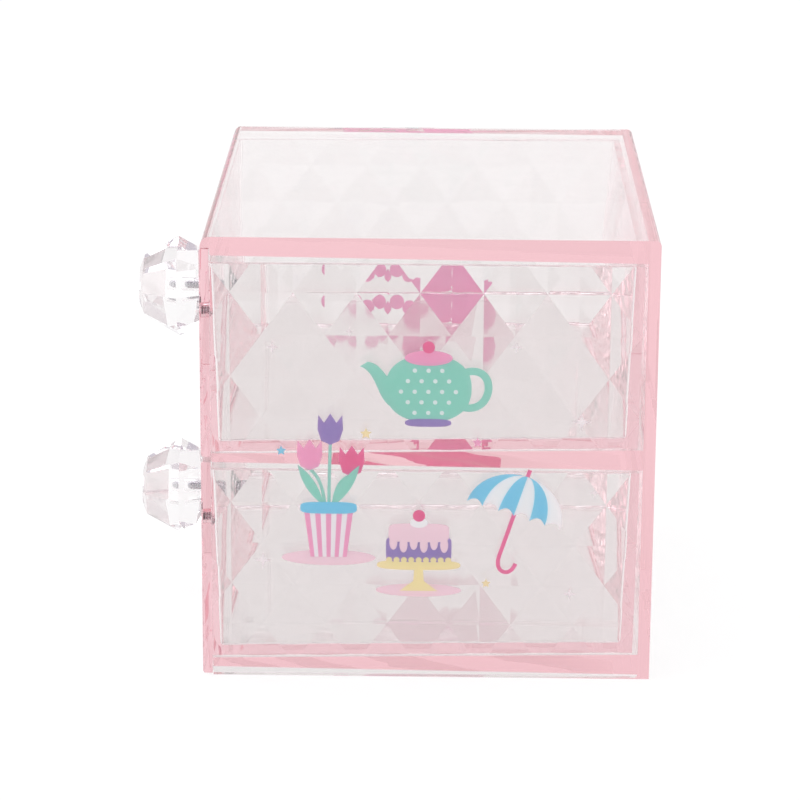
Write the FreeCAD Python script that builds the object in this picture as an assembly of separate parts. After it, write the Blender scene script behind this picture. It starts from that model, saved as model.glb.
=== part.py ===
import FreeCAD, Part
import math
import os

from FreeCAD import Vector

# Washi tape drawer box: a clear moulded case with two cells, a moulded drawer in each cell, and
# a crystal knob on each drawer, held by a screw from inside. Millimetres. X runs across the
# drawers, Y from the drawer fronts to the back, Z up. The origin is on the ground, under the
# middle of the whole object with its knobs.

# Overall
WIDTH = 130.0
DEPTH = 110.0
HEIGHT = 111.0

# Case: two cells that taper to the back, so that the moulding core draws out of the front
SIDE_WALL = 2.4
BACK_WALL = 2.8
TOP_WALL = 4.9
SHELF = 2.2
BASE_PLATE = 2.3
BASE_RECESS = 1.6
SHELF_HEIGHT = 54.5
FLOOR_DRAFT = 0.95
CEILING_DRAFT = 0.65
SIDE_DRAFT = 0.4
LIP_THICKNESS = 2.7
LIP_SETBACK = 0.3
LIP_ROUNDING = 2.4
BACK_ROUNDING = 1.4

# Drawers
FRONT_PLATE = 2.4
FRONT_GAP = 1.4
LIP_CLEARANCE = 0.3
SEAT_CLEARANCE = 0.2
GROUND_CLEARANCE = 0.4
SLIDE_CLEARANCE = 0.3
FLOOR_CLEARANCE = 0.12
BACK_CLEARANCE = 0.8
RIM_CLEARANCE = 1.0
DRAWER_WALL = 1.8
FRONT_WALL_RIM = 0.1
DRAWER_FLOOR = 2.0
OUTER_DRAFT = 0.6
INNER_DRAFT = 2.0
INSIDE_ROUNDING = 0.8
PLATE_EDGE = 0.4

# Quilted relief on the drawer sides: V-grooves that cross and leave low four-sided pyramids
DIAMOND_LENGTH = 15.25
DIAMOND_HEIGHT = 21.0
DIAMOND_TABLE = 0.4
GROOVE_DEPTH = 0.6
QUILT_ROW = 18.4
QUILT_COLUMN_Y = 0.2

# Knob: an eight-sided bead, widest at its girdle
KNOB_SIDES = 8
KNOB_BASE_RADIUS = 7.8
KNOB_GIRDLE_RADIUS = 13.3
KNOB_SHOULDER_RADIUS = 8.2
KNOB_TABLE_RADIUS = 5.0
KNOB_GIRDLE_REACH = 9.9
KNOB_SHOULDER_REACH = 18.8
KNOB_REACH = 20.0

# Screw
SCREW_RADIUS = 1.75
SCREW_LENGTH = 13.0
SCREW_POINT = 1.2
HEAD_RADIUS = 3.5
HEAD_HEIGHT = 2.2
HEAD_ROUNDING = 0.9
RECESS_LENGTH = 4.0
RECESS_WIDTH = 0.9
RECESS_DEPTH = 1.2
THREAD_CLEARANCE = 0.05
HOLE_CLEARANCE = 0.25
SEAT_RADIUS_CLEARANCE = 0.4
SEAT_DEPTH = 0.3
BORE_END_CLEARANCE = 0.6

# How far a cutting block or a cutter runs past the face that it opens
OVERRUN = 1.0
CUTTER_RISE = 0.4
NEAR = 1e-4

# Places worked out from the sizes above
FRONT_Y = (KNOB_REACH - DEPTH) / 2
BACK_Y = FRONT_Y + DEPTH
PLATE_BACK_Y = FRONT_Y + FRONT_PLATE
CASE_FRONT_Y = PLATE_BACK_Y + SEAT_CLEARANCE
CELL_BACK_Y = BACK_Y - BACK_WALL
DRAWER_BACK_Y = CELL_BACK_Y - BACK_CLEARANCE
LIP_UNDERSIDE = HEIGHT - LIP_THICKNESS
BASE_TOP = BASE_RECESS + BASE_PLATE
CELL_TOP = HEIGHT - TOP_WALL
GROOVE_SPACING = DIAMOND_LENGTH * DIAMOND_HEIGHT / math.hypot(DIAMOND_LENGTH, DIAMOND_HEIGHT)
GROOVE_WIDTH = GROOVE_SPACING - DIAMOND_TABLE
SHELF_TOP = SHELF_HEIGHT + SHELF
SHELF_MIDDLE = SHELF_HEIGHT + SHELF / 2


class Slope:
    """A straight line in the YZ plane: a value at one place and how much it grows per mm."""

    def __init__(self, value, place, degrees):
        self.rate = math.tan(math.radians(degrees))
        self.start = value - self.rate * place

    def at(self, place):
        return self.start + self.rate * place

    def shifted(self, step):
        moved = Slope(0.0, 0.0, 0.0)
        moved.rate = self.rate
        moved.start = self.start + step
        return moved


class Side:
    """Half the width of a tapered block, which shrinks to the back and towards the bottom."""

    def __init__(self, half, y, z, along, down):
        self.along = math.tan(math.radians(along))
        self.down = math.tan(math.radians(down))
        self.half = half
        self.y = y
        self.z = z

    def at(self, y, z):
        return self.half - self.along * (y - self.y) - self.down * (self.z - z)


def corner(level, wall):
    """Where z = level(y) meets y = wall(z)."""
    z = (level.start + level.rate * wall.start) / (1 - level.rate * wall.rate)
    return wall.at(z), z


def solid_from(polygons):
    faces = [Part.Face(Part.makePolygon(points + points[:1])) for points in polygons]
    solid = Part.makeSolid(Part.makeShell(faces))
    solid.fixTolerance(1e-6)
    if solid.Volume < 0:
        solid.reverse()
    return solid


def tapered_block(floor, ceiling, front, back, side):
    """A six-sided solid between two levels, two end walls and two mirrored sides."""
    outline = [
        corner(floor, front),
        corner(floor, back),
        corner(ceiling, back),
        corner(ceiling, front),
    ]
    right = [Vector(side.at(y, z), y, z) for y, z in outline]
    left = [Vector(-side.at(y, z), y, z) for y, z in outline]
    rings = [right, left[::-1]]
    for i in range(4):
        j = (i + 1) % 4
        rings.append([right[i], left[i], left[j], right[j]])
    return solid_from(rings)


def edges_along(shape, test):
    """The straight edges whose two ends both pass the test."""
    return [e for e in shape.Edges if all(test(v.Point) for v in e.Vertexes)]


def level(height):
    return Slope(height, 0.0, 0.0)


def upright(y):
    return Slope(y, 0.0, 0.0)


def cell_levels(floor_z, ceiling_z):
    """The sloped floor and ceiling of a cell, given at the case's front edge."""
    floor = Slope(floor_z, CASE_FRONT_Y, FLOOR_DRAFT)
    ceiling = Slope(ceiling_z, CASE_FRONT_Y, -CEILING_DRAFT)
    return floor, ceiling


def cell_side():
    return Side(WIDTH / 2 - SIDE_WALL, CASE_FRONT_Y, 0.0, SIDE_DRAFT, 0.0)


def case_shell():
    """Outer block with a lip over the drawer fronts, the two cells and the recess underneath."""
    body = Part.makeBox(
        WIDTH, BACK_Y - CASE_FRONT_Y, HEIGHT, Vector(-WIDTH / 2, CASE_FRONT_Y, 0)
    )
    lip_front = FRONT_Y + LIP_SETBACK
    lip = Part.makeBox(
        WIDTH,
        CASE_FRONT_Y - lip_front,
        LIP_THICKNESS,
        Vector(-WIDTH / 2, lip_front, LIP_UNDERSIDE),
    )
    body = body.fuse(lip).removeSplitter()
    body = body.makeFillet(
        LIP_ROUNDING,
        edges_along(body, lambda p: p.y < lip_front + NEAR and p.z > HEIGHT - NEAR),
    )
    body = body.makeFillet(
        BACK_ROUNDING,
        edges_along(body, lambda p: p.y > BACK_Y - NEAR and p.z > HEIGHT - NEAR),
    )
    mouth = upright(CASE_FRONT_Y - OVERRUN)
    end = upright(CELL_BACK_Y)
    for floor_z, ceiling_z in ((BASE_TOP, SHELF_HEIGHT), (SHELF_TOP, CELL_TOP)):
        floor, ceiling = cell_levels(floor_z, ceiling_z)
        body = body.cut(tapered_block(floor, ceiling, mouth, end, cell_side()))
    roof = Slope(BASE_RECESS, CASE_FRONT_Y, -CEILING_DRAFT)
    recess = tapered_block(level(-OVERRUN), roof, mouth, end, cell_side())
    return body.cut(recess)


def groove(start, direction, outward, length):
    """A V-shaped cutter that runs along direction from start, a point on the wall's face."""
    across = outward.cross(direction)
    half = GROOVE_WIDTH / 2
    section = [
        start - outward * GROOVE_DEPTH,
        start + across * half,
        start + outward * CUTTER_RISE + across * half,
        start + outward * CUTTER_RISE - across * half,
        start - across * half,
    ]
    face = Part.Face(Part.makePolygon(section + section[:1]))
    return face.extrude(direction * length)


def quilt_grooves(side, sign, row_z, low_z, high_z, reach):
    """Two families of grooves with mirrored slopes. A diamond's middle lies at QUILT_COLUMN_Y
    and row_z, and half-way along the grooves' spacing each way they cross."""
    slope = DIAMOND_HEIGHT / DIAMOND_LENGTH
    anchor = Vector(sign * side.at(QUILT_COLUMN_Y, row_z), QUILT_COLUMN_Y, row_z)
    along = Vector(-sign * side.along, 1.0, 0.0)
    upward = Vector(sign * side.down, 0.0, 1.0)
    outward = Vector(sign, side.along, -side.down)
    outward.normalize()
    tall = max(high_z - row_z, row_z - low_z)
    count = math.ceil((reach + tall / slope) / DIAMOND_LENGTH)
    cutters = []
    for lean in (-1, 1):
        run = along * lean + upward * slope
        length = 2 * (tall / slope + DIAMOND_LENGTH) * run.Length
        run.normalize()
        for step in range(-count, count + 1):
            foot = anchor + along * ((step + 0.5) * DIAMOND_LENGTH)
            cutters.append(groove(foot - run * (length / 2), run, outward, length))
    return cutters


def screw_seat_y(inner_front, knob_z):
    """The flat seat for the screw head, cut just below the drafted inner face."""
    lowest_inner = inner_front.at(knob_z + HEAD_RADIUS + SEAT_RADIUS_CLEARANCE)
    return lowest_inner - SEAT_DEPTH


def drawer_sizes(floor_z, ceiling_z, plate_low, plate_high):
    """The planes of one drawer, worked out from the cell that it slides in."""
    cell_floor, cell_ceiling = cell_levels(floor_z, ceiling_z)
    rim = cell_ceiling.at(DRAWER_BACK_Y) - RIM_CLEARANCE
    half = WIDTH / 2 - SIDE_WALL - SLIDE_CLEARANCE
    outer_side = Side(half, CASE_FRONT_Y, rim, SIDE_DRAFT, OUTER_DRAFT)
    inner_side = Side(half - DRAWER_WALL, CASE_FRONT_Y, rim, SIDE_DRAFT, INNER_DRAFT)
    underside = cell_floor.shifted(FLOOR_CLEARANCE)
    return {
        "rim": rim,
        "underside": underside,
        "inner_floor": underside.shifted(DRAWER_FLOOR),
        "outer_side": outer_side,
        "inner_side": inner_side,
        "outer_back": Slope(DRAWER_BACK_Y, rim, OUTER_DRAFT),
        "inner_back": Slope(DRAWER_BACK_Y - DRAWER_WALL, rim, INNER_DRAFT),
        "inner_front": Slope(PLATE_BACK_Y + FRONT_WALL_RIM, rim, -INNER_DRAFT),
        "plate_low": plate_low,
        "plate_high": plate_high,
        "knob_z": (plate_low + plate_high) / 2,
    }


def front_plate(sizes):
    height = sizes["plate_high"] - sizes["plate_low"]
    plate = Part.makeBox(
        WIDTH, FRONT_PLATE, height, Vector(-WIDTH / 2, FRONT_Y, sizes["plate_low"])
    )
    outer = edges_along(plate, lambda p: p.y < FRONT_Y + NEAR)
    return plate.makeChamfer(PLATE_EDGE, outer)


def edges_below(block, height):
    """Every edge of a block but those that lie wholly above a height."""
    return [
        e for e in block.Edges if not all(v.Point.z > height for v in e.Vertexes)
    ]


def drawer(sizes):
    """A tray with drafted walls, the quilt on both sides, the front plate and the screw hole."""
    rim = level(sizes["rim"])
    tray = tapered_block(
        sizes["underside"],
        rim,
        upright(PLATE_BACK_Y),
        sizes["outer_back"],
        sizes["outer_side"],
    )
    cutters = []
    for sign in (-1, 1):
        cutters += quilt_grooves(
            sizes["outer_side"],
            sign,
            sizes["underside"].at(QUILT_COLUMN_Y) + QUILT_ROW,
            sizes["underside"].at(PLATE_BACK_Y),
            sizes["rim"],
            DRAWER_BACK_Y - QUILT_COLUMN_Y,
        )
    tray = tray.cut(cutters)
    inside = tapered_block(
        sizes["inner_floor"],
        rim.shifted(OVERRUN),
        sizes["inner_front"],
        sizes["inner_back"],
        sizes["inner_side"],
    )
    inside = inside.makeFillet(INSIDE_ROUNDING, edges_below(inside, sizes["rim"] + NEAR))
    body = tray.fuse(front_plate(sizes)).removeSplitter().cut(inside)
    seat_y = screw_seat_y(sizes["inner_front"], sizes["knob_z"])
    hole = Part.makeCylinder(
        SCREW_RADIUS + HOLE_CLEARANCE,
        seat_y - FRONT_Y + 2 * OVERRUN,
        Vector(0, FRONT_Y - OVERRUN, sizes["knob_z"]),
        Vector(0, 1, 0),
    )
    seat = Part.makeCylinder(
        HEAD_RADIUS + SEAT_RADIUS_CLEARANCE,
        SEAT_DEPTH + 2 * OVERRUN,
        Vector(0, seat_y, sizes["knob_z"]),
        Vector(0, 1, 0),
    )
    return body.cut([hole, seat])


def faceted_bead(profile, sides, place):
    """Rings of (reach, radius) joined by flat facets, a corner of each ring straight up."""
    rings = []
    for reach, radius in profile:
        ring = []
        for i in range(sides):
            turn = 2 * math.pi * i / sides
            ring.append(
                place + Vector(radius * math.sin(turn), -reach, radius * math.cos(turn))
            )
        rings.append(ring)
    polygons = [rings[0], rings[-1][::-1]]
    for low, high in zip(rings, rings[1:]):
        for i in range(sides):
            j = (i + 1) % sides
            polygons.append([low[i], low[j], high[j], high[i]])
    return solid_from(polygons)


def knob(sizes):
    """A clear bead with a blind bore for the screw, flat against the drawer front."""
    centre = Vector(0, FRONT_Y, sizes["knob_z"])
    profile = [
        (0.0, KNOB_BASE_RADIUS),
        (KNOB_GIRDLE_REACH, KNOB_GIRDLE_RADIUS),
        (KNOB_SHOULDER_REACH, KNOB_SHOULDER_RADIUS),
        (KNOB_REACH, KNOB_TABLE_RADIUS),
    ]
    seat_y = screw_seat_y(sizes["inner_front"], sizes["knob_z"])
    bore_depth = SCREW_LENGTH - (seat_y - FRONT_Y) + BORE_END_CLEARANCE
    bore = Part.makeCylinder(
        SCREW_RADIUS + THREAD_CLEARANCE, bore_depth, centre, Vector(0, -1, 0)
    )
    return faceted_bead(profile, KNOB_SIDES, centre).cut(bore)


def knob_screw(sizes):
    """A pan-head screw with a cross recess, driven from inside the drawer."""
    seat_y = screw_seat_y(sizes["inner_front"], sizes["knob_z"])
    seat = Vector(0, seat_y, sizes["knob_z"])
    forward = Vector(0, -1, 0)
    shank = Part.makeCylinder(SCREW_RADIUS, SCREW_LENGTH - SCREW_POINT, seat, forward)
    point = Part.makeCone(
        SCREW_RADIUS,
        SCREW_RADIUS / 3,
        SCREW_POINT,
        seat + forward * (SCREW_LENGTH - SCREW_POINT),
        forward,
    )
    head = Part.makeCylinder(HEAD_RADIUS, HEAD_HEIGHT, seat, Vector(0, 1, 0))
    crown = [e for e in head.Edges if e.CenterOfMass.y > seat_y + HEAD_HEIGHT - NEAR]
    head = head.makeFillet(HEAD_ROUNDING, crown)
    top_y = seat_y + HEAD_HEIGHT
    recesses = []
    for across, tall in ((RECESS_LENGTH, RECESS_WIDTH), (RECESS_WIDTH, RECESS_LENGTH)):
        corner_point = Vector(-across / 2, top_y - RECESS_DEPTH, sizes["knob_z"] - tall / 2)
        recesses.append(Part.makeBox(across, RECESS_DEPTH + OVERRUN, tall, corner_point))
    return head.cut(recesses).fuse([shank, point]).removeSplitter()


def build():
    upper = drawer_sizes(
        SHELF_TOP, CELL_TOP, SHELF_MIDDLE + FRONT_GAP / 2, LIP_UNDERSIDE - LIP_CLEARANCE
    )
    lower = drawer_sizes(
        BASE_TOP, SHELF_HEIGHT, GROUND_CLEARANCE, SHELF_MIDDLE - FRONT_GAP / 2
    )
    parts = {"case_shell": case_shell()}
    for name, sizes in (("upper", upper), ("lower", lower)):
        parts[name + "_drawer"] = drawer(sizes)
        parts[name + "_knob"] = knob(sizes)
        parts[name + "_knob_screw"] = knob_screw(sizes)
    return parts


os.makedirs("parts", exist_ok=True)
for part_name, shape in build().items():
    shape.exportStep("parts/" + part_name + ".step")
    box = shape.BoundBox
    print(part_name, shape.isValid(), len(shape.Solids), round(shape.Volume, 1),
          [round(v, 2) for v in (box.XMin, box.YMin, box.ZMin, box.XMax, box.YMax, box.ZMax)])
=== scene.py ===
import math

import bmesh
import bpy
import numpy as np
from mathutils import Matrix, Vector


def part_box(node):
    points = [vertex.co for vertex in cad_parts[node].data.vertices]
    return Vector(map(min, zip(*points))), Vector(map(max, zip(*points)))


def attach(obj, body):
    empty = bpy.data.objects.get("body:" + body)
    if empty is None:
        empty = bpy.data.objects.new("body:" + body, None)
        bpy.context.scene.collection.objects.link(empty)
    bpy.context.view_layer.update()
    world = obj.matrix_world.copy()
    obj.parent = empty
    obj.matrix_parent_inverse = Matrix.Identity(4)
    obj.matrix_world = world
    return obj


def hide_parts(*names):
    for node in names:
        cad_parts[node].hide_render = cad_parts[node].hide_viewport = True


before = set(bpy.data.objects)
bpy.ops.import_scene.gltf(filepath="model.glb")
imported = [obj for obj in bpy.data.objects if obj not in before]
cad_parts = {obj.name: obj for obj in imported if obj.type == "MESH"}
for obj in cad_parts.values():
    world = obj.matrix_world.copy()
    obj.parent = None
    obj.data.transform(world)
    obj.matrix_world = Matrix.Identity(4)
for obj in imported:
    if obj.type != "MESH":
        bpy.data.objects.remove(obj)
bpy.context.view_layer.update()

# ---------------------------------------------------------------------------------------------
# The room: a white sweep that runs under and behind the box, a soft overhead lamp, a weaker
# lamp on the drawer side, and even white surroundings under a ceiling that clear facets show
# a little darker. The floor keeps a faint shadow. Behind the box it also carries a painted
# pink shadow, which only rays bent or mirrored by clear plastic or metal see.


class Field:
    """A shader socket that sums, products and quotients can be written with."""

    def __init__(self, recipe, socket):
        self.recipe = recipe
        self.socket = socket

    def __add__(self, other):
        return self.recipe.math("ADD", self, other)

    def __radd__(self, other):
        return self.recipe.math("ADD", other, self)

    def __rsub__(self, other):
        return self.recipe.math("SUBTRACT", other, self)

    def __mul__(self, other):
        return self.recipe.math("MULTIPLY", self, other)

    def __rmul__(self, other):
        return self.recipe.math("MULTIPLY", other, self)

    def __truediv__(self, other):
        return self.recipe.math("DIVIDE", self, other)


class Recipe:
    """The node tree of one material or of the world; add() makes any node in it."""

    def __init__(self, tree):
        self.tree = tree
        self.tree.nodes.clear()

    def add(self, kind, settings=None, sockets=None, output=0):
        node = self.tree.nodes.new(kind)
        for key, value in (settings or {}).items():
            setattr(node, key, value)
        for key, value in (sockets or {}).items():
            if isinstance(value, Field):
                self.tree.links.new(value.socket, node.inputs[key])
            else:
                node.inputs[key].default_value = value
        return Field(self, node.outputs[output]) if node.outputs else None

    def math(self, operation, *values):
        return self.add("ShaderNodeMath", {"operation": operation}, dict(enumerate(values)))


def within(value, edge, softness):
    """1 well below the edge, 0 well above it, with a straight step between."""
    return value.recipe.add("ShaderNodeMath", {"operation": "ADD", "use_clamp": True},
                            {0: (edge - value) / softness, 1: 0.5})


def bent_ray(recipe):
    """1 for a ray that clear plastic or metal has bent or mirrored, 0 for any other."""
    return recipe.math("MAXIMUM", recipe.add("ShaderNodeLightPath", output="Is Glossy Ray"),
                       recipe.add("ShaderNodeLightPath", output="Is Transmission Ray"))


WALLS = (1.0, 1.0, 1.0)
CEILING = (0.66, 0.62, 0.68)
CEILING_FROM = 0.55
CEILING_SOFTNESS = 0.2
world = bpy.data.worlds.new("white_studio")
bpy.context.scene.world = world
world.use_nodes = True
air = Recipe(world.node_tree)
height = air.add("ShaderNodeSeparateXYZ", sockets={
    0: air.add("ShaderNodeTexCoord", output="Generated")}, output="Z")
overhead = 1.0 - within(height, CEILING_FROM, CEILING_SOFTNESS)
air.add("ShaderNodeOutputWorld", sockets={
    "Surface": air.add("ShaderNodeMixShader", sockets={
        0: overhead * bent_ray(air),
        1: air.add("ShaderNodeBackground", sockets={"Color": WALLS + (1.0,)}),
        2: air.add("ShaderNodeBackground", sockets={"Color": CEILING + (1.0,)})})})

FLOOR_REACH = 4.0
FLOOR_Z = -0.0001
FLOOR_ALBEDO = (0.16, 0.16, 0.16)
FLOOR_GLOW = 0.84
GRAIN = 0.01
GRAIN_SCALE = 40.0
# Painted shadow: behind the box, the floor that clear plastic and metal show glows dimmer
# and faintly pink. This stands in for the pink shadow that the box casts. The patch runs
# between two X values and to one Y value on each side, with soft edges.
PAINTED_SHADOW_GLOW = 0.85 * FLOOR_GLOW
PAINTED_SHADOW_TINT = (1.0, 0.985, 0.98)
PAINTED_SHADOW_FAR, PAINTED_SHADOW_FAR_SOFTNESS = -0.4, 0.2
PAINTED_SHADOW_NEAR, PAINTED_SHADOW_NEAR_SOFTNESS = 0.08, 0.04
PAINTED_SHADOW_SIDE, PAINTED_SHADOW_SIDE_SOFTNESS = 0.06, 0.03

sweep = bpy.data.meshes.new("sweep")
sweep.from_pydata([(x * FLOOR_REACH, y * FLOOR_REACH, FLOOR_Z)
                   for x, y in ((-1, -1), (1, -1), (1, 1), (-1, 1))], [], [(0, 1, 2, 3)])
floor = bpy.data.objects.new("sweep", sweep)
bpy.context.scene.collection.objects.link(floor)
paper = bpy.data.materials.new("sweep_paper")
paper.use_nodes = True
page = Recipe(paper.node_tree)
place = page.add("ShaderNodeTexCoord", output="Object")
grain = page.add("ShaderNodeTexNoise", sockets={"Vector": place, "Scale": GRAIN_SCALE})
lit = page.add("ShaderNodeBsdfDiffuse", sockets={"Color": FLOOR_ALBEDO + (1.0,)})
bright_glow = page.add("ShaderNodeEmission", sockets={
    "Color": (1.0, 1.0, 1.0, 1.0), "Strength": FLOOR_GLOW - GRAIN * grain})
# The painted shadow's glow: dimmer and pinker than the rest of the floor.
painted_shadow_glow = page.add("ShaderNodeEmission", sockets={
    "Color": PAINTED_SHADOW_TINT + (1.0,), "Strength": PAINTED_SHADOW_GLOW})
away = page.add("ShaderNodeSeparateXYZ", sockets={0: place}, output="X")
sideways = page.math("ABSOLUTE", page.add("ShaderNodeSeparateXYZ", sockets={0: place},
                                          output="Y"))
# Painted shadow mask: 1 on the floor patch behind the box, 0 elsewhere. Only bent rays see it.
painted_shadow = (within(away, PAINTED_SHADOW_NEAR, PAINTED_SHADOW_NEAR_SOFTNESS)
         * (1.0 - within(away, PAINTED_SHADOW_FAR, PAINTED_SHADOW_FAR_SOFTNESS))
         * within(sideways, PAINTED_SHADOW_SIDE, PAINTED_SHADOW_SIDE_SOFTNESS))
page.add("ShaderNodeOutputMaterial", sockets={
    "Surface": page.add("ShaderNodeMixShader", sockets={
        0: painted_shadow * bent_ray(page),
        1: page.add("ShaderNodeAddShader", sockets={0: lit, 1: bright_glow}),
        2: page.add("ShaderNodeAddShader", sockets={0: lit, 1: painted_shadow_glow})})})
sweep.materials.append(paper)

# Each lamp: its name, place, width and watts. All of them face a point inside the box.
LAMPS = (
    ("overhead", (-0.25, -0.35, 1.25), 1.1, 6.0),
    ("drawer_side", (0.5, -1.1, 0.6), 0.7, 3.0),
)
LAMP_TARGET = Vector((0.0, 0.0, 0.05))
for name, place, width, watts in LAMPS:
    lamp = bpy.data.lights.new(name, "AREA")
    lamp.size = width
    lamp.energy = watts
    holder = bpy.data.objects.new(name, lamp)
    holder.location = place
    aim = LAMP_TARGET - Vector(place)
    holder.rotation_euler = aim.to_track_quat("-Z", "Y").to_euler()
    bpy.context.scene.collection.objects.link(holder)

# ---------------------------------------------------------------------------------------------
# The camera stands at the printed side, a little above, with a long lens. Its turn to the side
# and its roll are small. Light may pass many faces, because every wall here is clear.

FRAME_PIXELS = 800
FOCAL_PIXELS = 3255.0
SENSOR_WIDTH = 36.0
CAMERA_PLACE = (0.816, 0.0125, 0.2932)
CAMERA_TURN = -0.0124
CAMERA_PITCH = 0.2875
CAMERA_ROLL = 0.0068
LIGHT_BOUNCES = 128
CLEAR_BOUNCES = 96

lens = bpy.data.cameras.new("camera")
lens.sensor_width = SENSOR_WIDTH
lens.lens = FOCAL_PIXELS / FRAME_PIXELS * SENSOR_WIDTH
camera = bpy.data.objects.new("camera", lens)
vertical = Vector((0.0, 0.0, 1.0))
forward = Vector((-math.cos(CAMERA_TURN), math.sin(CAMERA_TURN), 0.0))
right = Vector((math.sin(CAMERA_TURN), math.cos(CAMERA_TURN), 0.0))
ahead = forward * math.cos(CAMERA_PITCH) - vertical * math.sin(CAMERA_PITCH)
above = vertical * math.cos(CAMERA_PITCH) + forward * math.sin(CAMERA_PITCH)
across = right * math.cos(CAMERA_ROLL) + above * math.sin(CAMERA_ROLL)
upward = above * math.cos(CAMERA_ROLL) - right * math.sin(CAMERA_ROLL)
turn = Matrix((across, upward, -ahead)).transposed()
camera.matrix_world = Matrix.Translation(CAMERA_PLACE) @ turn.to_4x4()
bpy.context.scene.collection.objects.link(camera)
bpy.context.scene.camera = camera
bpy.context.scene.view_settings.view_transform = "Standard"
bpy.context.scene.cycles.max_bounces = LIGHT_BOUNCES
bpy.context.scene.cycles.transmission_bounces = CLEAR_BOUNCES
bpy.context.scene.cycles.glossy_bounces = CLEAR_BOUNCES
bpy.context.scene.cycles.blur_glossy = 0.0

# ---------------------------------------------------------------------------------------------
# The case: one moulding in clear polystyrene with a little pink dye, left polished by the mould.
# Thin walls look almost colourless; an edge seen through its length looks pink.

WAVE_SCALE = 45.0
WAVE_STRENGTH = 0.03
MOTTLE_SCALE = 120.0
MOTTLE = 0.1


def between(recipe, share, first, second):
    """A colour share of the way from the first to the second."""
    return recipe.add("ShaderNodeMix", {"data_type": "RGBA"}, {
        0: share, 6: tuple(first) + (1.0,), 7: tuple(second) + (1.0,)}, output=2)


def clear_plastic(name, dye, ior, wave, passed):
    """Clear plastic: a smooth surface with faint mould waves, and dye that darkens with depth.
    dye is how much red, green and blue one metre takes, as exponents, wave is the height of the
    mould waves in metres, and passed is the share of each colour that gets through one face."""
    made = bpy.data.materials.new(name)
    made.use_nodes = True
    mix = Recipe(made.node_tree)
    place = mix.add("ShaderNodeTexCoord", output="Object")
    waves = mix.add("ShaderNodeTexNoise", sockets={
        "Vector": place, "Scale": WAVE_SCALE, "Detail": 1.0})
    mottle = mix.add("ShaderNodeTexNoise", sockets={
        "Vector": place, "Scale": MOTTLE_SCALE, "Detail": 2.0})
    surface = mix.add("ShaderNodeBsdfPrincipled", sockets={
        "Base Color": between(mix, mottle, [p ** (1.0 + MOTTLE) for p in passed],
                              [p ** (1.0 - MOTTLE) for p in passed]),
        "Roughness": 0.0,
        "Transmission Weight": 1.0,
        "IOR": ior,
        "Normal": mix.add("ShaderNodeBump", sockets={
            "Strength": WAVE_STRENGTH, "Distance": wave, "Height": waves})})
    most = max(dye)
    depth = mix.add("ShaderNodeVolumeAbsorption", sockets={
        "Color": tuple(1.0 - d / most for d in dye) + (1.0,), "Density": most})
    mix.add("ShaderNodeOutputMaterial", sockets={"Surface": surface, "Volume": depth})
    return made


def dress(node_name, material):
    """Gives a CAD node's whole surface one material."""
    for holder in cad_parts[node_name].material_slots:
        holder.material = material


POLYSTYRENE_IOR = 1.55
POLYSTYRENE_WAVE = 0.002
POLYSTYRENE_PASSED = (0.957, 0.953, 0.952)
CASE_DYE = (0.6, 4.2, 3.6)
dress("case_shell", clear_plastic("pink_case_plastic", CASE_DYE, POLYSTYRENE_IOR,
                                  POLYSTYRENE_WAVE, POLYSTYRENE_PASSED))

# ---------------------------------------------------------------------------------------------
# Two drawers in the same plastic with slightly less dye, each one moulding with its front plate
# and low pyramids on both sides.

LEVELS = ("upper", "lower")
DRAWER_DYE = (0.45, 3.7, 3.1)
drawer_plastic = clear_plastic("pink_drawer_plastic", DRAWER_DYE, POLYSTYRENE_IOR,
                               POLYSTYRENE_WAVE, POLYSTYRENE_PASSED)
for level in LEVELS:
    dress(level + "_drawer", drawer_plastic)

# ---------------------------------------------------------------------------------------------
# The knobs: faceted beads in water-clear acrylic, polished all round. The screw pulls each one
# against its drawer's front plate, dry, so a hair of air stays between them.

ACRYLIC_IOR = 1.49
ACRYLIC_WAVE = 0.0003
ACRYLIC_PASSED = (1.0, 0.99, 0.992)
ACRYLIC_DYE = (1.0, 1.2, 1.0)
KNOB_STANDOFF = 0.00003
FACET_ANGLE = math.radians(15.0)
JOIN_DISTANCE = 1e-7


def joined(mesh):
    """Merges the points of a mesh that coincide, so that its faces make one closed skin."""
    skin = bmesh.new()
    skin.from_mesh(mesh)
    bmesh.ops.remove_doubles(skin, verts=skin.verts, dist=JOIN_DISTANCE)
    skin.to_mesh(mesh)
    skin.free()
    if "custom_normal" in mesh.attributes:
        mesh.attributes.remove(mesh.attributes["custom_normal"])
    return mesh


def add_piece(name, mesh, materials, body, replaced=None):
    """Puts a mesh into the scene as a piece that rides a body, in a CAD node's stead if one is
    named."""
    mesh.materials.clear()
    for material in materials:
        mesh.materials.append(material)
    piece = bpy.data.objects.new(name, mesh)
    bpy.context.scene.collection.objects.link(piece)
    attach(piece, body)
    if replaced:
        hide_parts(replaced)


acrylic = clear_plastic("clear_knob_acrylic", ACRYLIC_DYE, ACRYLIC_IOR, ACRYLIC_WAVE,
                        ACRYLIC_PASSED)
for level in LEVELS:
    node = level + "_knob"
    bead = joined(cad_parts[node].data.copy())
    bead.name = level + "_clear_knob"
    plate_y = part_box(node)[1][1]
    points = np.empty(3 * len(bead.vertices))
    bead.vertices.foreach_get("co", points)
    points[1::3] = np.minimum(points[1::3], plate_y - KNOB_STANDOFF)
    bead.vertices.foreach_set("co", points)
    bead.shade_smooth()
    bead.set_sharp_from_angle(angle=FACET_ANGLE)
    add_piece(bead.name, bead, [acrylic], level + "_drawer_unit", node)

# ---------------------------------------------------------------------------------------------
# The knob screws: nickel-plated steel, a pan head with a cross recess inside the drawer and a
# rolled thread that runs through the front plate into the knob.

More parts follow.
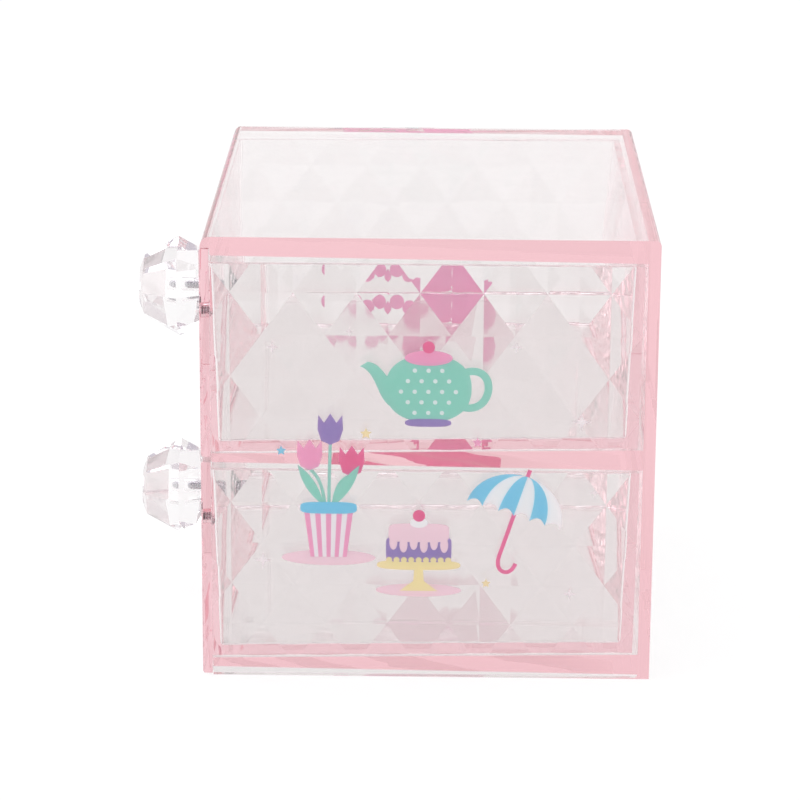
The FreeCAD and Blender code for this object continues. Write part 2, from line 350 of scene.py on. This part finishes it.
SHANK_RADIUS = 0.00174
SHANK_LENGTH = 0.013
THREAD_ROOT = 0.00142
THREAD_PITCH = 0.00075
THREAD_START = 12.0
POINT_LENGTH = 0.0012
POINT_SHARE = 0.3
HEAD_RADIUS = 0.0035
HEAD_HEIGHT = 0.0022
HEAD_EDGE = 0.0009
CROSS_REACH = 0.002
CROSS_HALF = 0.00045
CROSS_DEPTH = 0.0012
CROSS_WALL = 0.00018
CROSS_RISE = 0.35
TURN_STEPS = 64
CROWN_RINGS = 22
EDGE_RINGS = 8
SHANK_RINGS = 175
STEEL = (0.6, 0.6, 0.62)
STEEL_ROUGHNESS = 0.2
SPECK = 0.15
SPECK_SCALE = 1500.0

steel = bpy.data.materials.new("plated_screw_steel")
steel.use_nodes = True
plating = Recipe(steel.node_tree)
speck = plating.add("ShaderNodeTexNoise", sockets={
    "Vector": plating.add("ShaderNodeTexCoord", output="Object"), "Scale": SPECK_SCALE})
plating.add("ShaderNodeOutputMaterial", sockets={
    "Surface": plating.add("ShaderNodeBsdfPrincipled", sockets={
        "Base Color": STEEL + (1.0,), "Metallic": 1.0,
        "Roughness": STEEL_ROUGHNESS + SPECK * speck})})


def ringed_mesh(name, points):
    """A closed skin over a grid of points (rings, steps, 3): each ring joins the next, its last
    step joins its first, and a ring without width is a pole."""
    rings, steps = points.shape[:2]
    here = np.arange(rings * steps).reshape(rings, steps)
    after = np.roll(here, -1, axis=1)
    quads = np.stack([here[:-1], after[:-1], after[1:], here[1:]], axis=-1).reshape(-1, 4)
    made = bpy.data.meshes.new(name)
    made.from_pydata(points.reshape(-1, 3).tolist(), [], quads.tolist())
    return joined(made)


def screw_surface(turns):
    """Radius and place along the axis for every ring of the screw, from the middle of the head's
    top round its edge and down the threaded shank to the tip. Along the shank the radius is the
    root plus a triangle wave of (distance / pitch - turn), which makes the helix."""
    crown_radius = np.linspace(0.0, HEAD_RADIUS - HEAD_EDGE, CROWN_RINGS)
    edge = np.linspace(0.0, math.pi / 2, EDGE_RINGS + 1)[1:]
    edge_radius = HEAD_RADIUS - HEAD_EDGE + HEAD_EDGE * np.sin(edge)
    edge_height = HEAD_HEIGHT - HEAD_EDGE + HEAD_EDGE * np.cos(edge)
    shank = np.linspace(0.0, 1.0, SHANK_RINGS)
    distance = SHANK_LENGTH * shank
    wave = np.abs(((distance[:, None] / THREAD_PITCH - turns) % 1.0) * 2.0 - 1.0)
    fade = np.clip(shank * THREAD_START, 0.0, 1.0)[:, None]
    taper = np.clip((SHANK_LENGTH - distance) / POINT_LENGTH, 0.0, 1.0)[:, None] ** 0.5
    thread = THREAD_ROOT + (SHANK_RADIUS - THREAD_ROOT) * (1.0 - fade + fade * wave)
    shank_radius = thread * (POINT_SHARE + (1.0 - POINT_SHARE) * taper)
    head_radius = np.concatenate([crown_radius, edge_radius, [HEAD_RADIUS]])
    radius = np.vstack([np.repeat(head_radius[:, None], len(turns), axis=1), shank_radius,
                        np.zeros(len(turns))])
    height = np.concatenate([np.full(CROWN_RINGS, HEAD_HEIGHT), edge_height, [0.0], -distance,
                             [-SHANK_LENGTH]])
    return radius, height


def cross_recess(x, z):
    """Depth of the cross at a point of the head: two crossed slots with sloping walls, shallower
    towards the ends of the arms."""
    def inside(value, half):
        return np.clip((half - np.abs(value)) / CROSS_WALL + 0.5, 0.0, 1.0)
    arms = np.maximum(inside(x, CROSS_REACH) * inside(z, CROSS_HALF),
                      inside(x, CROSS_HALF) * inside(z, CROSS_REACH))
    return CROSS_DEPTH * arms * (1.0 - CROSS_RISE * np.hypot(x, z) / CROSS_REACH)


def screw_mesh(name, seat_y, centre_z):
    """The screw's rings turned round its axis, which runs along Y at centre_z. The head rests
    on seat_y."""
    turns = np.arange(TURN_STEPS) / TURN_STEPS
    radius, height = screw_surface(turns)
    x = radius * np.cos(2.0 * math.pi * turns)
    z = radius * np.sin(2.0 * math.pi * turns)
    y = seat_y + np.repeat(height[:, None], TURN_STEPS, axis=1)
    y[:CROWN_RINGS] -= cross_recess(x[:CROWN_RINGS], z[:CROWN_RINGS])
    return ringed_mesh(name, np.stack([x, y, z + centre_z], axis=-1))


for level in LEVELS:
    node = level + "_knob_screw"
    low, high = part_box(node)
    made = screw_mesh(level + "_threaded_screw", low[1] + SHANK_LENGTH, (low[2] + high[2]) / 2)
    add_piece(made.name, made, [steel], level + "_drawer_unit", node)

# ---------------------------------------------------------------------------------------------
# Pictures screen-printed on the side walls in opaque inks. A picture is a stack of flat films,
# each just within the wall's face. Its outlines are (y, z) points in mm, turning left.

MM = 0.001
WALL_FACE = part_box("case_shell")[1][0]
RIGHT, LEFT = 1, -1
FILMS = {RIGHT: 6, LEFT: 3}
FILM_TOP = 0.00003
FILM_STEP = 0.00003
FILM_THICKNESS = 0.00002
INK_SCALE = 700.0
INK_MOTTLE = 0.1
INK_ROUGHNESS = 0.45
ESCAPE = 1.0 / POLYSTYRENE_IOR ** 2
WHITE = (1.0, 1.0, 1.0)


def ink(name, red, green, blue):
    """An opaque ink film that looks an sRGB colour under the clear face, with the fine mottle of
    a screen print. Of the light that a film under plastic scatters, 1 / ior ** 2 gets out and
    the rest comes back to the film, so the film itself is paler than it looks."""
    seen = [(c / 255.0 + 0.055) ** 2.4 / 1.055 ** 2.4 for c in (red, green, blue)]
    paler = [s / (ESCAPE + (1.0 - ESCAPE) * s) for s in seen]
    made = bpy.data.materials.new("ink_" + name)
    made.use_nodes = True
    film = Recipe(made.node_tree)
    mottle = film.add("ShaderNodeTexNoise", sockets={
        "Vector": film.add("ShaderNodeTexCoord", output="Object"), "Scale": INK_SCALE,
        "Detail": 3.0})
    film.add("ShaderNodeOutputMaterial", sockets={
        "Surface": film.add("ShaderNodeBsdfPrincipled", sockets={
            "Base Color": between(film, INK_MOTTLE * mottle, paler, WHITE),
            "Roughness": INK_ROUGHNESS + INK_MOTTLE * mottle,
            "Specular IOR Level": 0.0})})
    return made


INKS = {
    "white": ink("white", 250, 250, 252),
    "blush": ink("blush", 250, 208, 222),
    "pink": ink("pink", 245, 150, 190),
    "rose": ink("rose", 232, 92, 140),
    "mint": ink("mint", 130, 206, 186),
    "sky": ink("sky", 112, 196, 236),
    "violet": ink("violet", 140, 118, 182),
    "butter": ink("butter", 250, 228, 160),
    "hot_pink": ink("hot_pink", 252, 126, 194),
    "table_pink": ink("table_pink", 255, 194, 238),
    "cloth": ink("cloth", 255, 222, 236),
}


def print_picture(name, side, centre, shapes):
    """Prints shapes, given as (layer, ink, outline round the centre), as one piece on the right
    wall (+X) or the left one (-X). Layer 0 lies deepest, as many films down as FILMS says."""
    points, faces, inks = [], [], []
    for layer, colour, outline in shapes:
        count = len(outline)
        front = len(points) + np.arange(count)
        back = front + count
        top = WALL_FACE - FILM_TOP - FILM_STEP * (FILMS[side] - layer)
        for x in (top, top - FILM_THICKNESS):
            film = (np.asarray(outline, dtype=float) + centre) * MM
            points += np.column_stack([np.full(count, side * x), film]).tolist()
        edges = np.column_stack([front, back, np.roll(back, -1), np.roll(front, -1)])
        rings = [front.tolist(), back[::-1].tolist()] + edges.tolist()
        faces += [ring[::side] for ring in rings]
        inks += [colour] * len(rings)
    used = [colour for colour in INKS if colour in inks]
    made = bpy.data.meshes.new(name)
    made.from_pydata(points, [], faces)
    add_piece(name, made, [INKS[colour] for colour in used], "case")
    made.polygons.foreach_set("material_index", [used.index(colour) for colour in inks])
    made.update()


def oval(y, z, half_y, half_z, count=56, power=2.0):
    """The curve |y / half_y| ** power + |z / half_z| ** power = 1, turned through count steps."""
    turn = np.linspace(0.0, 2.0 * math.pi, count, endpoint=False)
    bend = 2.0 / power
    return np.column_stack([
        y + half_y * np.sign(np.cos(turn)) * np.abs(np.cos(turn)) ** bend,
        z + half_z * np.sign(np.sin(turn)) * np.abs(np.sin(turn)) ** bend])


def ribbon(path, width):
    """A band of even width along a path: half the width to each side of every point."""
    path = np.asarray(path, dtype=float)
    run = np.gradient(path, axis=0)
    run /= np.linalg.norm(run, axis=1)[:, None]
    across = np.column_stack([-run[:, 1], run[:, 0]])
    return np.vstack([path - across * width / 2, (path + across * width / 2)[::-1]])


def curve(points, count=24):
    """A smooth path through its end points, drawn towards the others (a Bezier curve)."""
    points = np.asarray(points, dtype=float)
    t = np.linspace(0.0, 1.0, count)[:, None]
    degree = len(points) - 1
    return sum(math.comb(degree, i) * (1 - t) ** (degree - i) * t ** i * points[i]
               for i in range(degree + 1))


# ---------------------------------------------------------------------------------------------
# The teapot: a round mint pot with white dots in staggered rows, a spout and a curled handle,
# a violet foot and a pink lid with a rose knob.

DOT_RADIUS = 0.55
DOT_STEP = 3.3
DOT_ROW_STEP = 0.8 * DOT_STEP
DOT_FIELD = (9.0, 6.4)
DOT_DROP = 0.8
DOT_ROWS = range(-6, 7)
spout_low = curve([(-8.0, -5.0), (-12.5, -4.0), (-12.0, 4.0), (-16.5, 5.4)], 16)
spout_high = curve([(-8.0, 1.5), (-11.0, 3.0), (-11.0, 6.0), (-14.6, 6.6)], 16)
teapot = [
    (0, "mint", ribbon(curve([(8.5, 4.0), (17.0, 7.0), (16.0, -7.0), (8.0, -4.5)]), 1.9)),
    (0, "mint", np.vstack([spout_low[::-1], spout_high])[::-1]),
    (1, "mint", oval(0.0, 0.0, 10.4, 8.4, 64, 2.3)),
    (2, "violet", oval(0.0, -8.6, 5.6, 1.0, 32, 3.0)),
    (2, "pink", oval(0.0, 7.6, 5.8, 1.9, 40)),
    (3, "rose", oval(0.0, 10.3, 1.5, 1.5, 24)),
]
for row in DOT_ROWS:
    for column in DOT_ROWS:
        dot_y, dot_z = (column + 0.5 * (row % 2)) * DOT_STEP, row * DOT_ROW_STEP
        if math.hypot(dot_y / DOT_FIELD[0], dot_z / DOT_FIELD[1]) < 1.0:
            teapot.append((2, "white", oval(dot_y, dot_z - DOT_DROP, DOT_RADIUS, DOT_RADIUS, 14)))
print_picture("print_teapot", RIGHT, (10.0, 74.0), teapot)

# ---------------------------------------------------------------------------------------------
# The tulips: three flowers on bent stems with two leaves, in a pink-striped pot with a blue rim
# that stands on a pale mat.

POT_TOP = 8.0
POT_FLOOR = -6.0
POT_HALF = 6.0
POT_FLOOR_SHARE = 0.733
RIM_HEIGHT = 2.0
STRIPES = 5
STRIPE_STEP = 2.67
STRIPE_WIDTH = 1.33
LEAF_TIP = (7.5, 17.5)
flower_half = [(2.2, -2.9), (3.1, 0.0), (2.9, 3.6), (1.5, 1.7)]
flower = np.array([(0.0, -3.9)] + flower_half + [(0.0, 4.0)]
                  + [(-y, z) for y, z in flower_half[::-1]])
tulips = [(0, "blush", oval(0.0, -6.2, 11.5, 2.0, 48))]
for lean, rise, colour in ((-4.6, 20.0, "pink"), (0.4, 26.5, "violet"), (5.6, 18.5, "rose")):
    stem = curve([(lean * 0.2, POT_TOP - 1.0), (lean * 0.3, 14.0), (lean, rise - 3.6)])
    tulips += [(0, "mint", ribbon(stem, 0.8)), (1, colour, flower + (lean, rise))]
for side in (-1, 1):
    outer, inner = [curve([(1.0, POT_TOP - 1.0), middle, LEAF_TIP], 14)
                    for middle in ((6.5, 11.0), (2.5, 14.0))]
    leaf = np.vstack([outer[:-1], inner[::-1][:-1]])
    tulips.append((2, "mint", (leaf * (side, 1.0))[::side]))
pot = [(-POT_HALF, POT_TOP - RIM_HEIGHT), (-4.4, POT_FLOOR), (4.4, POT_FLOOR),
       (POT_HALF, POT_TOP - RIM_HEIGHT)]
tulips.append((3, "white", pot))
for stripe in range(STRIPES):
    left = stripe * STRIPE_STEP - POT_HALF
    right = left + STRIPE_WIDTH
    tulips.append((4, "pink", [
        (left * POT_FLOOR_SHARE, POT_FLOOR), (right * POT_FLOOR_SHARE, POT_FLOOR),
        (right, POT_TOP - RIM_HEIGHT), (left, POT_TOP - RIM_HEIGHT)]))
tulips.append((5, "sky", oval(0.0, POT_TOP - 1.4, 6.9, 1.5, 40, 4.0)))
print_picture("print_tulips", RIGHT, (-14.0, 37.0), tulips)

# ---------------------------------------------------------------------------------------------
# The parasol: an open shade of blue and white gores with a scalloped hem, on a rose stick that
# ends in a crook, tilted to the right.

GORES = 6
SHADE_HALF = 12.0
SHADE_RISE = 10.5
SCALLOP_RISE = 1.3
tilt = math.radians(-18.0)
TILT = np.array([[math.cos(tilt), math.sin(tilt)], [-math.sin(tilt), math.cos(tilt)]])
stick = [(0.0, SHADE_RISE + 1.8), (0.0, 4.0), (0.0, -4.0), (0.0, -10.0)]
crook = curve([(0.0, -11.0), (0.0, -15.5), (4.4, -15.5), (4.4, -11.5)], 14)
parasol = [(0, "rose", ribbon(np.vstack([stick, crook]), 1.0) @ TILT)]
rib = np.linspace(0.0, math.pi / 2, 12)
for gore in range(GORES):
    left = -1.0 + 2.0 * gore / GORES
    right = left + 2.0 / GORES
    hem = np.linspace(left, right, 9)
    scallop = SCALLOP_RISE * np.sin(math.pi * (hem - left) / (right - left))
    seams = [np.column_stack([SHADE_HALF * side * np.cos(rib), SHADE_RISE * np.sin(rib)])
             for side in (right, left)]
    outline = np.vstack([np.column_stack([SHADE_HALF * hem, scallop]), seams[0][1:],
                         seams[1][::-1][1:-1]])
    parasol.append((1, "white" if gore % 2 else "sky", outline @ TILT))
print_picture("print_parasol", RIGHT, (31.0, 42.0), parasol)

# ---------------------------------------------------------------------------------------------
# The cake: a violet sponge under pale icing that runs down in drips, with a cherry on cream,
# on a butter-yellow stand with a beaded rim and a pale mat under its foot.

DRIPS = 6
DRIP_STEP = 2.48
BEADS = 9
BEAD_STEP = 1.8
BEAD_RADIUS = 0.75
foot_half = [(4.6, -8.6), (1.3, -6.0), (1.0, -2.0)]
cake = [
    (0, "blush", oval(0.0, -8.4, 10.5, 1.7, 48)),
    (1, "butter", foot_half + [(-y, z) for y, z in foot_half[::-1]]),
    (2, "butter", oval(0.0, -1.9, 10.2, 1.3, 48, 3.0)),
    (3, "violet", oval(0.0, 2.2, 8.0, 3.3, 56, 7.0)),
    (4, "blush", oval(0.0, 6.4, 7.4, 2.4, 56, 5.0)),
    (5, "white", oval(0.0, 9.0, 2.2, 1.3, 32)),
    (6, "rose", oval(0.0, 10.8, 1.5, 1.5, 28)),
]
for drip in range(DRIPS):
    drip_y = DRIP_STEP * (drip - (DRIPS - 1) / 2)
    cake.append((5, "blush", oval(drip_y, 4.0 - 0.7 * (drip % 2), 1.0, 2.0, 24)))
for bead in range(BEADS):
    bead_y = BEAD_STEP * (bead - (BEADS - 1) / 2)
    cake.append((4, "butter", oval(bead_y, -0.6, BEAD_RADIUS, BEAD_RADIUS, 18)))
print_picture("print_cake", RIGHT, (8.0, 31.0), cake)

# ---------------------------------------------------------------------------------------------
# Sparkles between the pictures: white ones with four thin arms, and small five-armed stars in
# the other inks.


def star(y, z, reach, inner, arms):
    """A star with arms at reach and hollows at inner, its first arm pointing up."""
    turn = 2.0 * math.pi * (0.25 + np.arange(2 * arms) / (2.0 * arms))
    radius = np.where(np.arange(2 * arms) % 2, inner, reach)
    return np.column_stack([y + radius * np.cos(turn), z + radius * np.sin(turn)])


sparkles = [(0, "white", star(y, z, reach, reach * 0.28, 4)) for y, z, reach in (
    (-30.0, 30.0, 2.2), (-27.5, 84.0, 1.6), (47.0, 66.0, 2.4), (31.0, 84.5, 1.5),
    (45.0, 22.0, 1.6), (-9.0, 88.0, 1.2), (50.5, 48.0, 1.3))]
sparkles += [(0, colour, star(y, z, reach, reach * 0.5, 5)) for y, z, reach, colour in (
    (-5.0, 62.5, 1.5, "butter"), (22.0, 60.5, 1.3, "pink"), (-25.5, 58.0, 1.3, "sky"),
    (24.5, 24.5, 1.2, "butter"))]
print_picture("print_sparkles", RIGHT, (0.0, 0.0), sparkles)

# ---------------------------------------------------------------------------------------------
# On the -X wall, a hot-pink parcel with a ribbon and a scalloped edge, on a table with a pale
# cloth, and a string of beads beside it.

PARCEL = (15.5, 64.2)
PARCEL_HALF_Y, PARCEL_HALF_Z = 6.8, 7.2
SCALLOP = 0.55
SCALLOPS = 20
SCALLOP_POINTS = 12
HEM_WAVES = 6
STRING_BEADS = 6
rim = oval(0.0, 0.0, PARCEL_HALF_Y, PARCEL_HALF_Z, SCALLOPS * SCALLOP_POINTS, 4.0)
swell = np.abs(np.sin(np.arange(len(rim)) * math.pi / SCALLOP_POINTS))[:, None]
rim = rim * (1.0 + swell * SCALLOP / PARCEL_HALF_Y)
bow = ribbon([(0.0, -PARCEL_HALF_Z), (0.0, 0.0), (0.0, PARCEL_HALF_Z)], 1.6)
hem = np.linspace(0.0, 1.0, 61)
drape = np.column_stack([29.0 - 31.0 * hem,
                         40.5 - 1.3 * np.abs(np.sin(hem * math.pi * HEM_WAVES))])
table = [
    (0, "hot_pink", rim + PARCEL),
    (1, "pink", bow + PARCEL),
    (3, "table_pink", oval(13.5, 54.6, 18.0, 1.9, 80, 6.0)),
    (3, "table_pink", oval(-11.0, 54.6, 2.2, 1.9, 40, 4.0)),
    (2, "cloth", np.vstack([[(-3.2, 54.0), (30.2, 54.0)], drape])[::-1]),
]
for bead in range(STRING_BEADS):
    bead_y, bead_z = 5.6 - 3.5 * bead, 63.2 + 1.6 * (bead % 2)
    table += [(bead % 2, "hot_pink", oval(bead_y, bead_z, 2.0, 2.0, 28)),
              (2, "white", oval(bead_y, bead_z, 1.25, 1.25, 24))]
print_picture("print_parcel", LEFT, (0.0, 0.0), table)
